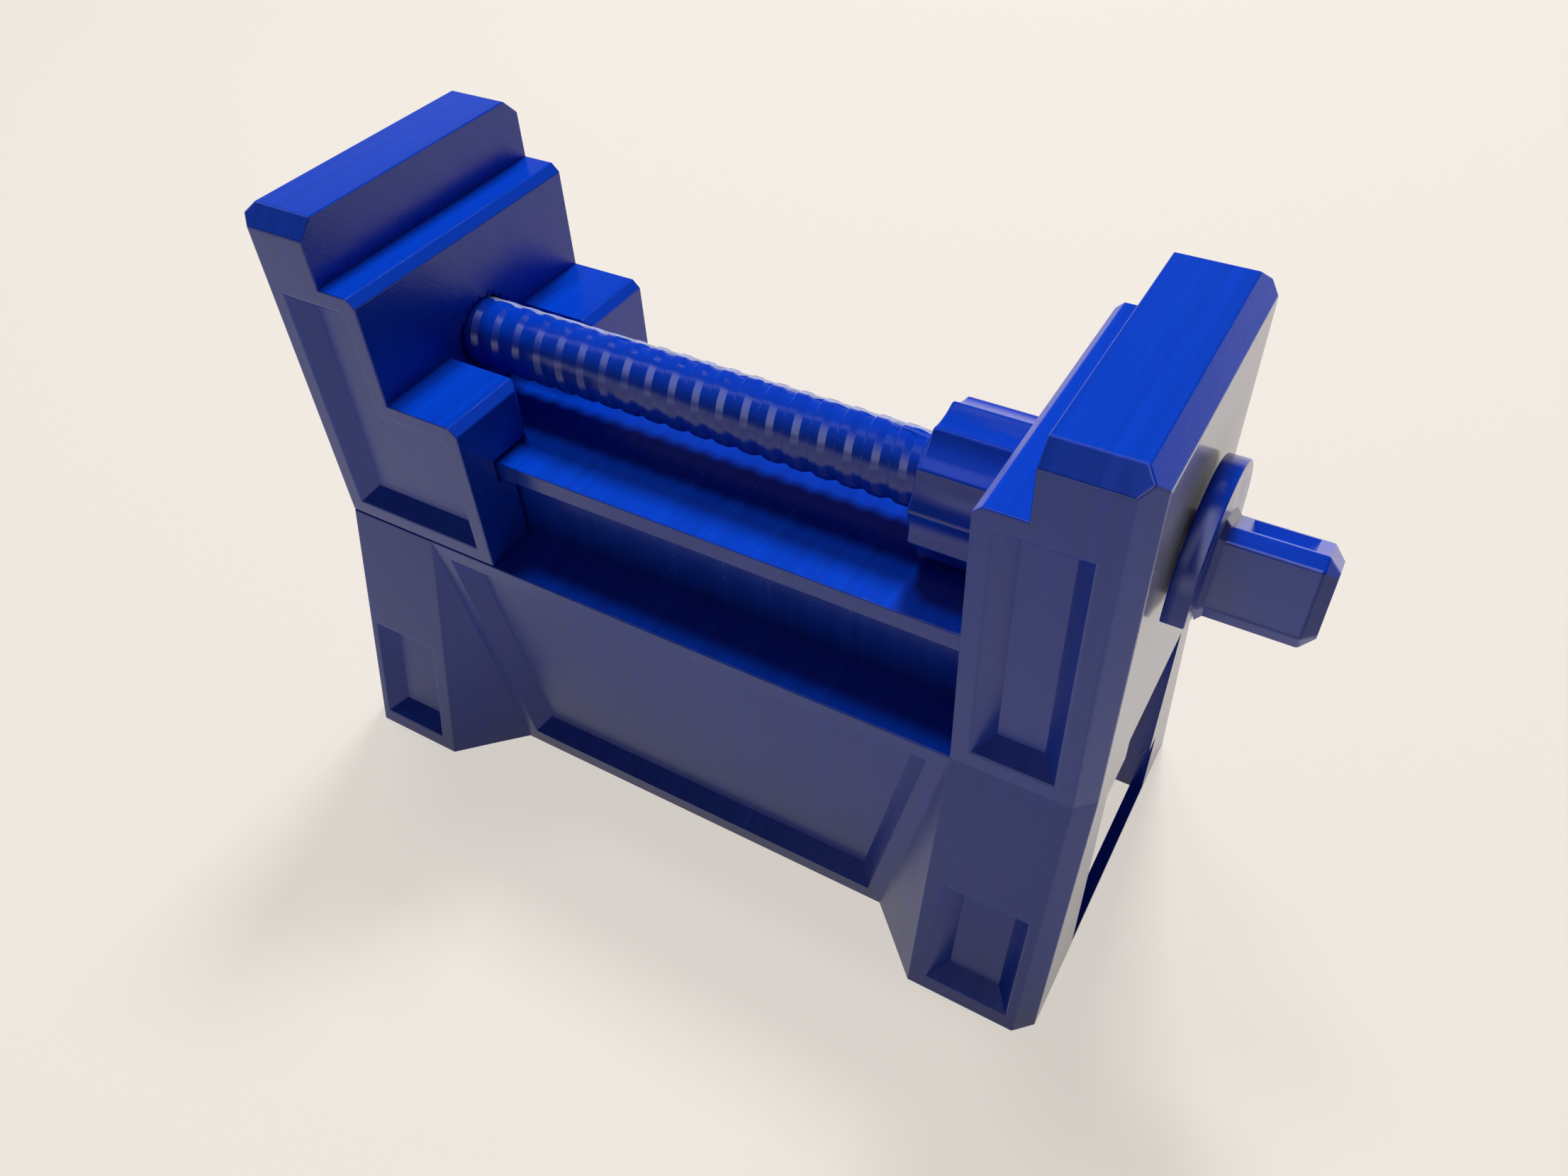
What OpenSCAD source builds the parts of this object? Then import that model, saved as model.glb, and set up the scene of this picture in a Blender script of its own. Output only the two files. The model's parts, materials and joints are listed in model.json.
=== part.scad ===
// Screw vise for holding skis and boards, printed in four pieces.
// The base carries the fixed jaw and a T-shaped rail. The sliding jaw straddles the rail.
// A lead screw turns in the fixed jaw and draws the sliding jaw along.
// X runs along the rail towards the drive end, Y across to the far side, Z up from the surface it
// stands on. The vise is centred over the origin.

/* [Base] */
// Length of the base along the rail
base_len = 200; // [160:1:260]
// Width of the body and of both jaws
body_w = 70; // [60:1:90]
// Width over the feet at the floor
foot_w = 100; // [92:1:120]
// Height of the ledge that the sliding jaw rides on
ledge_z = 67.5; // [56:0.5:80]
// Length of each leg along the rail
leg_len = 30; // [26:1:40]
// How far a leg's inner face spreads along the rail by the time it meets the floor
leg_spread = 15; // [8:1:25]
// Wall thickness of the hollow base
wall = 3; // [2:0.1:3.2]
// Chamfer on the outer edges of the ends and tops
edge_chamfer = 4; // [2:0.25:5]

/* [Rail] */
// Height of the rail over the ledge
rail_h = 25.3; // [20:0.1:28]
// Thickness of the rail's flange
flange_t = 4.8; // [3:0.1:8]
// Width over the flange
flange_w = 51; // [46:0.5:55]
// Width of the web under the flange
web_w = 41; // [34:0.5:42]

/* [Fixed jaw] */
// Height of both jaws over the floor
jaw_h = 150; // [144:1:165]
// Thickness of the upper part of a jaw
jaw_t = 20; // [16:1:26]
// Height of the step that the work lies on
step_z = 135; // [131:0.5:138]
// Depth of that step
step_t = 10; // [8:0.5:14]
// Chamfer along the front of the fixed jaw's step
fixed_step_chamfer = 1.75; // [0.5:0.25:3]

/* [Sliding jaw] */
// Height of the two lobes at the foot of the sliding jaw
lobe_z = 108.3; // [104:0.1:112]
// Length of the lobes ahead of the step
lobe_len = 20; // [14:1:26]
// Width of the slot between the lobes
lobe_slot_w = 26.8; // [22:0.2:30]
// Chamfer on the slot's front corners
slot_chamfer = 1.5; // [0.5:0.1:3]
// Chamfer along the front of the steps
step_chamfer = 2; // [0.5:0.25:3]
// Gap between the jaw and the rail's flange
rail_gap = 0.9; // [0.4:0.1:1.2]
// Gap between the jaw and the ledge it rides on
ride_gap = 0.3; // [0.2:0.05:0.6]

/* [Pockets] */
// Depth and slope run of the sunk panels
pocket_depth = 4; // [2:0.25:4]
// Rim left around a sunk panel
pocket_margin = 4; // [3:0.25:5]
// Height of the sunk panel on a leg, along its slope
foot_pocket_h = 30.3; // [20:0.5:40]
// Cut across the front top corner of the sliding jaw's panel
pocket_corner = 1.5; // [0.8:0.1:2.5]

/* [End opening] */
// Width of the opening in the end wall
opening_w = 45.8; // [36:0.2:48]
// Height of the opening's shoulder over the floor
opening_shoulder_z = 59.4; // [50:0.2:60]
// Height that the narrow top of the opening adds
opening_top_h = 5.9; // [3:0.1:6]
// How far the near side steps in at the top
opening_step_in = 11; // [6:0.5:14]
// How far the far side steps out near the floor
opening_step_out = 5; // [2:0.25:6]
// Height of that lower step over the floor
opening_low_z = 22.5; // [14:0.5:30]
// Height of the sill under the opening
sill_h = 1.6; // [1:0.1:4]

/* [Lead screw] */
// Height of the screw's axis
screw_z = 108; // [106:0.5:112]
// Outside diameter of the thread
thread_d = 16.6; // [14:0.1:17]
// Distance from one turn of the thread to the next
pitch = 6.2; // [5:0.1:8]
// Depth of the thread
thread_depth = 1; // [0.6:0.05:1.3]
// Angle that each printed flat takes out of the thread's circle
flat_angle = 25; // [10:1:30]
// How far the screw's tip stays inside the sliding jaw's back face
tip_inset = 2; // [1:0.5:8]
// Radial gap around the thread and the journal
screw_gap = 0.3; // [0.25:0.05:0.5]
// Radial gap in the nut threads, wide enough for a printed thread
thread_gap = 0.4; // [0.35:0.05:0.5]
// Diameter of the collar outside the end face
collar_d = 40; // [34:1:44]
// Thickness of the collar
collar_t = 4.4; // [3:0.1:7]
// Play between the collar and the end face
collar_play = 1; // [0.4:0.1:2]

/* [Drive end] */
// Width across the flats of the drive
drive_af = 17.5; // [15:0.25:19]
// Width of one flat between its corner chamfers
drive_flat_w = 12.6; // [9:0.1:14]
// Length of the drive from the collar to its end
drive_len = 20.6; // [16:0.2:30]
// Chamfer around the end of the drive
drive_chamfer = 2.45; // [1:0.05:3.5]
// Flare where the drive meets the collar
neck_flare = 1.2; // [0.6:0.1:2]
// Angle of the drive's front face above the horizontal
drive_tilt = 27.5; // [0:0.5:45]
// Length of the recess in the drive's upper face
recess_len = 12; // [6:0.5:12.5]
// Width of that recess
recess_w = 10.4; // [4:0.2:11]
// Depth of that recess
recess_depth = 1.6; // [0.6:0.1:3]

/* [Lock nut] */
// Diameter over the ridges of the fluted nut
nut_d = 33.6; // [31:0.2:35]
// Length of the nut
nut_len = 20; // [14:1:24]
// Number of flutes around the nut
flutes = 12; // [8:1:14]
// Depth of a flute
flute_depth = 1.2; // [0.8:0.1:1.8]
// Width of the ridge left between two flutes
ridge_w = 0.4; // [0.2:0.1:1]
// Angle of one ridge above the horizontal on the near side
ridge_angle = 41; // [0:1:60]
// Gap between the nut and the fixed jaw
nut_gap = 0.3; // [0.2:0.05:0.6]
// Gap between the nut and the trough sunk in the rail under it
trough_gap = 0.6; // [0.4:0.1:1.5]

/* [Hidden] */
$fn = 96;

// One overrun serves every cut
over = 1;
blue = [0.05, 0.16, 0.55];
deep_blue = [0.04, 0.12, 0.48];
light_blue = [0.08, 0.24, 0.68];

// Places along the rail
x_back = -base_len / 2;
x_end = base_len / 2;
x_step = x_end - jaw_t - step_t;
x_lobe = x_back + jaw_t + step_t;
x_front = x_lobe + lobe_len;
half_w = body_w / 2;
rail_top = ledge_z + rail_h;
leg_tilt = atan2((foot_w - body_w) / 2, ledge_z);

// Screw and nut
thread_r = thread_d / 2;
root_r = thread_r - thread_depth;
nut_r = nut_d / 2;
x_nut = x_step - nut_gap - nut_len;
x_collar = x_end + collar_play;
x_drive = x_collar + collar_t;
x_tip = x_back + tip_inset;
// Every piece is moved back by this much, so that the whole vise stands centred over the origin
frame_x = -(collar_play + collar_t + drive_len) / 2;
hole_r = thread_r + thread_gap;
mouth_chamfer = thread_depth + thread_gap;

// Thread form: the crest is as wide as the root, and the flanks rise at 45 degrees
flank_run = thread_depth;
crest_w = pitch / 2 - flank_run;
turn_steps = 24;
half_steps = turn_steps / 2;
flat_dir = 90 - drive_tilt;
flat_end = flat_dir + flat_angle / 2;
round_step = (180 - flat_angle) / (half_steps - 1);
// Angles of one turn of the screw, with a wide facet over each of the two flats
screw_angles = [for (h = [0, 180], i = [0:half_steps - 1]) flat_end + h + round_step * i];
// Angles of one turn of a nut's thread, evenly spaced
nut_angles = [for (i = [0:turn_steps - 1]) flat_end + 360 / turn_steps * i];

// Solids swept from an outline

// An outline in Y and Z, drawn out along X
module prism_x(pts, x0, x1)
    translate([x0, 0, 0]) rotate([90, 0, 90]) linear_extrude(x1 - x0) polygon(pts);

// An outline in X and Z, drawn out across the middle plane
module prism_y(pts, w)
    rotate([90, 0, 0]) linear_extrude(w, center = true) polygon(pts);

// A solid between two rings of as many points, the second ring outermost
module loft(a, b) {
    n = len(a);
    sides = [for (i = [0:n - 1]) [n + i, n + (i + 1) % n, (i + 1) % n, i]];
    cap_a = [for (i = [0:n - 1]) i];
    cap_b = [for (i = [0:n - 1]) 2 * n - 1 - i];
    polyhedron(concat(a, b), concat([cap_a, cap_b], sides));
}

function unit(v) = v / norm(v);
function wrap(list, i) = list[(i + len(list)) % len(list)];
// Outward normal of the edge that leaves point i of a counter-clockwise outline
function edge_normal(pts, i) =
    let (d = unit(wrap(pts, i + 1) - wrap(pts, i))) [d.y, -d.x];
// The outline moved out by k on every side, with its corners kept sharp
function grown(pts, k) = [for (i = [0:len(pts) - 1])
    let (m = edge_normal(pts, i - 1), n = edge_normal(pts, i)) pts[i] + (m + n) * k / (1 + m * n)];
function at_x(pts, x) = [for (p = pts) [x, p.x, p.y]];
function at_y(pts, y) = [for (p = pts) [p.x, y, p.y]];

// Cutter for a sunk panel with 45 degree walls in the plane y = 0, sunk towards +Y
module pocket(pts)
    loft(at_y(grown(pts, -pocket_depth), pocket_depth), at_y(grown(pts, over), -over));

function box_outline(x0, x1, z0, z1) = [[x0, z0], [x1, z0], [x1, z1], [x0, z1]];

// Does something on the near side and again on the far side
module both_sides()
    for (side = [0, 1]) mirror([0, side, 0]) children();

// Helical thread

// Foot of the ridge at an angle, counted on through the turns, from the flank's left foot at angle 0
function ridge_x(x0, deg) = x0 + pitch * deg / 360;
// Triangles from one point to each edge of a run of points
function fan(hub, rim) = [for (i = [0:len(rim) - 2]) [hub, rim[i], rim[i + 1]]];

// A threaded rod from xa to xb as one closed surface: the ridge is swept step by step around the
// axis and each turn is joined to the next along the root. The ridge fades in and out at its ends.
// gap thickens it all over, which makes the cutter for a nut.
module threaded_rod(xa, xb, angles, gap) {
    n = len(angles);
    r0 = root_r + gap;
    side = gap * (norm([flank_run, thread_depth]) - flank_run) / thread_depth;
    ridge_w = 2 * flank_run + crest_w;
    first = ceil((xa + pitch / 2 - ridge_x(x_tip, angles[0])) / pitch);
    start = ridge_x(x_tip, angles[0] + 360 * first);
    turns = floor((xb - pitch / 4 - start - ridge_w) / pitch);
    last = n * turns;
    fade = n / 4;
    function step_angle(k) = angles[k % n] + 360 * floor(k / n);
    function foot(k) = start + pitch * (step_angle(k) - angles[0]) / 360;
    function rise(k) = thread_depth * min(1, k / fade, (last - k) / fade);
    function spot(x, r, k) = [x, r * cos(angles[k % n]), r * sin(angles[k % n])];
    function ridge(k) = let (x = foot(k), r1 = r0 + rise(k)) [
        spot(x - side, r0, k),
        spot(x + flank_run - side, r1, k),
        spot(x + flank_run + crest_w + side, r1, k),
        spot(x + ridge_w + side, r0, k)];
    points = concat(
        [for (k = [0:last]) each ridge(k)],
        [for (k = [0:n - 1]) spot(xa, r0, k)],
        [for (k = [0:n - 1]) spot(xb, r0, k)]);
    s = 4 * (last + 1);
    e = s + n;
    function p(k, j) = 4 * k + j;
    ridges = [for (k = [0:last - 1], j = [0:2]) [p(k, j), p(k, j + 1), p(k + 1, j + 1), p(k + 1, j)]];
    roots = [for (k = [0:last - n - 1]) [p(k, 3), p(k + n, 0), p(k + n + 1, 0), p(k + 1, 3)]];
    heads = [for (k = [0:n - 2]) [s + k, p(k, 0), p(k + 1, 0), s + k + 1]];
    head = fan(p(n - 1, 0), [p(n, 0), p(0, 3), p(0, 2), p(0, 1), p(0, 0), s, s + n - 1]);
    b = last - n;
    tails = [for (k = [1:n - 1]) [p(b + k, 3), e + k, e + (k + 1) % n, p(b + k + 1, 3)]];
    tail = fan(p(b + 1, 3), [p(b, 3), p(last, 0), p(last, 1), p(last, 2), p(last, 3), e, e + 1]);
    caps = [[for (k = [n - 1:-1:0]) s + k], [for (k = [0:n - 1]) e + k]];
    faces = concat(ridges, roots, heads, head, tails, tail, caps);
    translate([0, 0, screw_z]) polyhedron(points, [for (f = faces) [for (i = [len(f) - 1:-1:0]) f[i]]]);
}

// A round rod or hole on the screw's axis
module on_axis(x0, x1, r0, r1)
    translate([x0, 0, screw_z]) rotate([0, 90, 0]) cylinder(h = x1 - x0, r1 = r0, r2 = r1);

// Threaded hole with a chamfered mouth at each end
module nut_thread(x0, x1) {
    threaded_rod(x0 - 2 * pitch, x1 + 2 * pitch, nut_angles, thread_gap);
    on_axis(x0 - over, x0 + mouth_chamfer, hole_r + over, hole_r - mouth_chamfer);
    on_axis(x1 - mouth_chamfer, x1 + over, hole_r - mouth_chamfer, hole_r + over);
}

// Base with the fixed jaw

// Leg outline in Y and Z, drawn in by k on both sides
function leg_outline(k) = [
    [-foot_w / 2 + k, 0],
    [foot_w / 2 - k, 0],
    [half_w - k, ledge_z],
    [-half_w + k, ledge_z]];

// Leg at one end, with the end's edges chamfered, and its spread towards the middle
module leg() {
    x_in = x_end - leg_len;
    prism_x(leg_outline(0), x_in, x_end - edge_chamfer);
    loft(at_x(leg_outline(0), x_end - edge_chamfer), at_x(leg_outline(edge_chamfer), x_end));
    both_sides()
        loft(
            [[x_in - leg_spread, -half_w, 0], [x_in, -half_w, 0], [x_in, -half_w, ledge_z]],
            [[x_in - leg_spread, -half_w, 0], [x_in, -foot_w / 2, 0], [x_in, -half_w, ledge_z]]);
}

module body_core() {
    square_run = base_len / 2 - edge_chamfer;
    prism_x([[-half_w, 0], [half_w, 0], [half_w, ledge_z], [-half_w, ledge_z]], -square_run, square_run);
}

module rail() {
    flange_z = rail_top - flange_t;
    prism_x([
        [-web_w / 2, ledge_z - wall], [web_w / 2, ledge_z - wall],
        [web_w / 2, flange_z], [flange_w / 2, flange_z],
        [flange_w / 2, rail_top], [-flange_w / 2, rail_top],
        [-flange_w / 2, flange_z], [-web_w / 2, flange_z]], x_back, x_step + over);
}

// Outline seen along X that chamfers the long top edges of a jaw
function jaw_front_view() = [
    [-half_w, 0],
    [half_w, 0],
    [half_w, jaw_h - edge_chamfer],
    [half_w - edge_chamfer, jaw_h],
    [-half_w + edge_chamfer, jaw_h],
    [-half_w, jaw_h - edge_chamfer]];

// Prism seen from above that chamfers the upright edges at the end x_out, a jaw running to x_in
module jaw_plan(x_in, x_out) {
    inward = sign(x_in - x_out);
    linear_extrude(jaw_h) polygon([
        [x_in, -half_w],
        [x_out + inward * edge_chamfer, -half_w],
        [x_out, -half_w + edge_chamfer],
        [x_out, half_w - edge_chamfer],
        [x_out + inward * edge_chamfer, half_w],
        [x_in, half_w]]);
}

module fixed_jaw() {
    x_top = x_end - jaw_t;
    intersection() {
        prism_y([
            [x_step, ledge_z - wall], [x_end, ledge_z - wall],
            [x_end, jaw_h - edge_chamfer], [x_end - edge_chamfer, jaw_h],
            [x_top, jaw_h], [x_top, step_z],
            [x_step + fixed_step_chamfer, step_z], [x_step, step_z - fixed_step_chamfer]], body_w);
        prism_x(jaw_front_view(), x_step, x_end);
        jaw_plan(x_step, x_end);
    }
}

// Sunk panels on one side of the base
module base_pockets() {
    x_in = x_end - leg_len;
    panel_foot = x_in - leg_spread;
    translate([0, -half_w, 0]) {
        pocket(grown([[-panel_foot, 0], [panel_foot, 0], [x_in, ledge_z], [-x_in, ledge_z]], -pocket_margin));
        pocket(box_outline(
            x_step + pocket_margin, x_end - edge_chamfer - pocket_margin,
            ledge_z + pocket_margin, step_z - pocket_margin));
    }
    for (end = [0, 1]) mirror([end, 0, 0])
        translate([0, -foot_w / 2, 0]) rotate([-leg_tilt, 0, 0])
            pocket(box_outline(
                x_in + pocket_margin, x_end - edge_chamfer - pocket_margin / 2,
                pocket_margin, pocket_margin + foot_pocket_h));
}

// Opening in the end wall, stepped in at the top on the near side and out at the foot on the far side
module end_opening() {
    w = opening_w / 2;
    top = opening_shoulder_z + opening_top_h;
    prism_x([
        [-w, sill_h], [w + opening_step_out, sill_h],
        [w + opening_step_out, opening_low_z], [w, opening_low_z],
        [w, top], [-w + opening_step_in, top],
        [-w + opening_step_in, opening_shoulder_z], [-w, opening_shoulder_z]],
        x_end - wall - over, x_end + over);
}

// Hollow of the base, open at the floor
module base_hollow() {
    w = half_w - pocket_depth - wall;
    prism_x([[-w, -over], [w, -over], [w, ledge_z - wall], [-w, ledge_z - wall]], x_back + wall, x_end - wall);
}

module base_body() color(blue) translate([frame_x, 0, 0]) difference() {
    union() {
        body_core();
        leg();
        mirror([1, 0, 0]) leg();
        rail();
        fixed_jaw();
    }
    both_sides() base_pockets();
    base_hollow();
    end_opening();
    on_axis(x_step - over, x_end + over, thread_r + screw_gap, thread_r + screw_gap);
    on_axis(x_nut - trough_gap, x_step, nut_r + trough_gap, nut_r + trough_gap);
}

// Sliding jaw

// Outline of the jaw seen along Y
function jaw_side_view() = [
    [x_back, ledge_z + ride_gap],
    [x_front, ledge_z + ride_gap],
    [x_front, lobe_z - step_chamfer],
    [x_front - step_chamfer, lobe_z],
    [x_lobe, lobe_z],
    [x_lobe, step_z - step_chamfer],
    [x_lobe - step_chamfer, step_z],
    [x_back + jaw_t, step_z],
    [x_back + jaw_t, jaw_h],
    [x_back + edge_chamfer, jaw_h],
    [x_back, jaw_h - edge_chamfer]];

// T-shaped way for the rail
module rail_way() {
    w = web_w / 2 + rail_gap;
    f = flange_w / 2 + rail_gap;
    low = rail_top - flange_t - ride_gap;
    top = rail_top + rail_gap;
    prism_x([
        [-w, ledge_z - over], [w, ledge_z - over], [w, low], [f, low],
        [f, top], [-f, top], [-f, low], [-w, low]], x_back - over, x_front + over);
}

// Slot between the lobes, with a chamfered mouth
module lobe_slot() {
    s = lobe_slot_w / 2;
    c = s + slot_chamfer;
    translate([0, 0, rail_top]) linear_extrude(jaw_h - rail_top) polygon([
        [x_lobe, -s], [x_front - slot_chamfer, -s],
        [x_front, -c], [x_front + over, -c - over],
        [x_front + over, c + over], [x_front, c],
        [x_front - slot_chamfer, s], [x_lobe, s]]);
}

// Panel outline with its front top corner cut across by c, moved out by k
function panel_outline(x0, x1, z0, z1, c, k) = [
    [x0 - k, z0 - k], [x1 + k, z0 - k], [x1 + k, z1 + k - c], [x1 + k - c, z1 + k], [x0 - k, z1 + k]];

// Cutter for a sunk panel whose cut corner runs out to almost nothing at its floor
module corner_pocket(x1, z1) {
    x0 = x_back + edge_chamfer + pocket_margin;
    z0 = ledge_z + ride_gap + pocket_margin;
    loft(
        at_y(panel_outline(x0, x1, z0, z1, pocket_corner / 8, -pocket_depth), pocket_depth),
        at_y(panel_outline(x0, x1, z0, z1, pocket_corner, over), -over));
}

module sliding_jaw() color(light_blue) translate([frame_x, 0, 0]) difference() {
    intersection() {
        prism_y(jaw_side_view(), body_w);
        prism_x(jaw_front_view(), x_back, x_front);
        jaw_plan(x_front, x_back);
    }
    rail_way();
    lobe_slot();
    nut_thread(x_back, x_lobe);
    both_sides() translate([0, -half_w, 0]) {
        corner_pocket(x_lobe - pocket_margin, step_z - pocket_margin);
        corner_pocket(x_front - pocket_margin, lobe_z - pocket_margin);
    }
}

// Lead screw with its collar and drive

// Eight-sided outline of the drive, drawn out by k on every side
function drive_outline(k) =
    let (a = drive_af / 2 + k, b = drive_flat_w / 2 + k * tan(22.5))
    [[b, -a], [a, -b], [a, b], [b, a], [-b, a], [-a, b], [-a, -b], [-b, -a]];

module drive() {
    x1 = x_drive + drive_len;
    x0 = x_drive + neck_flare;
    loft(at_x(drive_outline(neck_flare), x_drive), at_x(drive_outline(0), x0));
    prism_x(drive_outline(0), x0, x1 - drive_chamfer);
    loft(at_x(drive_outline(0), x1 - drive_chamfer), at_x(drive_outline(-drive_chamfer), x1));
}

// Recess in the drive's upper face, with 45 degree walls
module drive_recess() {
    x_mid = x_drive + (neck_flare + drive_len - drive_chamfer) / 2;
    a = drive_af / 2;
    floor_w = recess_w / 2 - recess_depth;
    floor_l = recess_len / 2 - recess_depth;
    function ring(l, w, z) = [
        [x_mid - l, -w, z], [x_mid + l, -w, z], [x_mid + l, w, z], [x_mid - l, w, z]];
    loft(
        ring(floor_l, floor_w, a - recess_depth),
        ring(recess_len / 2 + over, recess_w / 2 + over, a + over));
}

// The collar, cut flat in line with the drive's lower face
module collar() intersection() {
    rotate([0, 90, 0]) cylinder(h = collar_t, d = collar_d);
    translate([-over, -collar_d, -drive_af / 2]) cube([collar_t + 2 * over, 2 * collar_d, 2 * collar_d]);
}

module lead_screw() color(deep_blue) translate([frame_x, 0, 0]) {
    threaded_rod(x_tip, x_nut + nut_len + over, screw_angles, 0);
    on_axis(x_nut + nut_len, x_collar + over, thread_r, thread_r);
    translate([0, 0, screw_z]) rotate([-drive_tilt, 0, 0]) {
        translate([x_collar, 0, 0]) collar();
        difference() {
            drive();
            drive_recess();
        }
    }
}

// Fluted lock nut that holds the screw in the fixed jaw
module lock_nut() color(light_blue) translate([frame_x, 0, 0]) {
    half_chord = nut_r * sin(180 / flutes) - ridge_w / 2;
    sag = flute_depth - nut_r * (1 - cos(180 / flutes));
    flute_r = (half_chord * half_chord + sag * sag) / (2 * sag);
    difference() {
        translate([x_nut, 0, screw_z]) rotate([90, 0, 90]) linear_extrude(nut_len) difference() {
            circle(r = nut_r);
            for (i = [0:flutes - 1])
                rotate(180 - ridge_angle + 360 / flutes * (i + 1 / 2))
                    translate([nut_r - flute_depth + flute_r, 0]) circle(r = flute_r);
        }
        nut_thread(x_nut, x_nut + nut_len);
    }
}

base_body();
sliding_jaw();
lead_screw();
lock_nut();
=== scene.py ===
import json
import math

import bmesh
import bpy
import numpy as np
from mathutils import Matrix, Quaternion, Vector


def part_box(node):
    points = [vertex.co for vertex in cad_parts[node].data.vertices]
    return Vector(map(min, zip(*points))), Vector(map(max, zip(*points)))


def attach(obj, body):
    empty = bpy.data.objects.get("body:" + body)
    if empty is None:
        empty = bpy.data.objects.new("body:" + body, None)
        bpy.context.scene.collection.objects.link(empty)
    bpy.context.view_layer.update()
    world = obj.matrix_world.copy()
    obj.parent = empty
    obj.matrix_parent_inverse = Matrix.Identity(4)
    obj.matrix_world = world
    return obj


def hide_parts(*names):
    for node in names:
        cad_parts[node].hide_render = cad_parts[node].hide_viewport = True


# A printed screw vise for skis, with one sliding jaw
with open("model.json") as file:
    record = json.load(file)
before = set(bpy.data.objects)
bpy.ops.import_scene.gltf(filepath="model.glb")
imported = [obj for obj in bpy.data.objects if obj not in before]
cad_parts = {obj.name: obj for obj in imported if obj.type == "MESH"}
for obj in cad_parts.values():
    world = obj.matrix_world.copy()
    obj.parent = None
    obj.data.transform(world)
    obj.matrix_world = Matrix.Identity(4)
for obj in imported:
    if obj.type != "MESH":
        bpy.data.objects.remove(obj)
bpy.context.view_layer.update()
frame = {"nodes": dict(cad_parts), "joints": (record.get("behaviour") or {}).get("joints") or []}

# Every length is in metres, in the frame of the CAD model
MM = 0.001


def ends_along_rail(node_name):
    """Lowest and highest X of a CAD node, to the nearest micrometre."""
    return [round(corner.x, 6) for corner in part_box(node_name)]


# Places along the rail, and the height of the screw's axis
X_BACK, X_END = ends_along_rail("base_body")
X_TIP = ends_along_rail("lead_screw")[0]
X_NUT, X_NUT_END = ends_along_rail("lock_nut")
COLLAR_PLAY = 1 * MM
X_COLLAR = X_END + COLLAR_PLAY
AXIS_Z = next(joint["pos_m"][2] for joint in frame["joints"] if joint["name"] == "screw_turn")
# How far the plain journal starts inside the nut and ends inside the collar
OVERLAP = 1 * MM
# How far from the collar's inner side, and inside the journal's radius, a face still belongs to the collar
COLLAR_SLACK = 0.01 * MM
JOURNAL_SLACK = 0.3 * MM

# Thread of the lead screw
THREAD_R = 8.3 * MM
THREAD_DEPTH = 0.55 * MM
PITCH = 6.2 * MM
STEEP_RUN = 0.35 * MM
CREST_W = 2.1 * MM
SLOPE_RUN = 1.6 * MM
THREAD_FILLET = 0.16 * MM
TURN_STEPS = 144
FILLET_STEPS = 2
TIP_R = 7.0 * MM

# Side of the screw that lay on the build plate, and the other flat across from it
FLAT_DIR = math.radians(62.5)
FLAT_ANGLE = math.radians(25)
BED_STRIP = math.radians(7)
BED_WAVE = math.radians(2.5)
# Under this cosine a flat is too far round to cut
SIDEWAYS = 0.1
# Each wave of the strip's edge, in radians per metre, and its phase
BED_WAVES = ((1100, 0), (2700, 1), (4700, 2))

# Threaded hole of the sliding jaw
HOLE_ZONE_R = 10.2 * MM
HOLE_MIN_R = 8.35 * MM
HOLE_LEN = 30 * MM
X_MOUTH = X_BACK + HOLE_LEN
MOUTH_R = 9.9 * MM

# Hollow of the base, whose edges stay sharp
INSIDE_Y = 40 * MM
INSIDE_Z = 66 * MM

# Lock nut
NUT_R = 16.8 * MM
NUT_BORE_R = 8.7 * MM
NUT_MOUTH = 1.0 * MM
NUT_EDGE_R = 0.6 * MM
FLUTES = 12
FLUTE_DEPTH = 1.2 * MM
RIDGE_W = 0.4 * MM
RIDGE_ANGLE = math.radians(139)
FLUTE_STEPS = 30
NUT_EDGE_STEPS = 4

# Hairs of plastic, in millimetres: one hangs in the end opening and one lies on the screw
END_STRING = ((86.6, 26.9, 22.7), (86.2, 26.9, 17.0), (83.8, 28.0, 12.4))
SCREW_STRING = ((24.4, 1.1, 116.0), (29.0, 0.3, 117.2), (33.6, 0.5, 116.0))
STRING_R = 0.09 * MM
STRING_TIP_R = 0.001 * MM
# A direction that no string runs along
ACROSS_STRINGS = (0.3, 0.9, 0.2)
STRING_ROWS = 16
STRING_SIDES = 8

# Rounding of the printed edges
EDGE_R = 0.35 * MM
EDGE_STEPS = 3
EDGE_TURN = math.radians(20)
CURVE_TURN = math.radians(8)
FLAT_TURN = math.radians(0.3)
# How much more the large faces count in the shading, from 1 to 100 with 50 for no difference
LEAN = 90
# Points nearer than this are made one: on CAD copies and the nut, on the thread, and on the hairs
WELD = 0.002 * MM
FINE_WELD = 0.0002 * MM
HAIR_WELD = 0.0001 * MM

# How the pieces were printed
LAYER = 0.2 * MM
HATCH = 0.42 * MM
# Distance along X from one step line on a chamfer to the next
STEP_LINE = 0.3 * MM
SCREW_TILT = math.radians(27.5)
DIAGONAL = math.radians(-45)

# How far the printed lines of each finish wander, and the detail and scale of the noise that moves them
WALL_WOBBLE = 1.0
SKIN_WOBBLE = 0.6
SCREW_WOBBLE = 0.5
SLOPE_WOBBLE = 0.1
WOBBLE_DETAIL = 1.0
WOBBLE_SCALE = 0.3
# A wave repeats every 2 pi / (WAVE_FACTOR * its scale)
WAVE_FACTOR = 20

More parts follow.
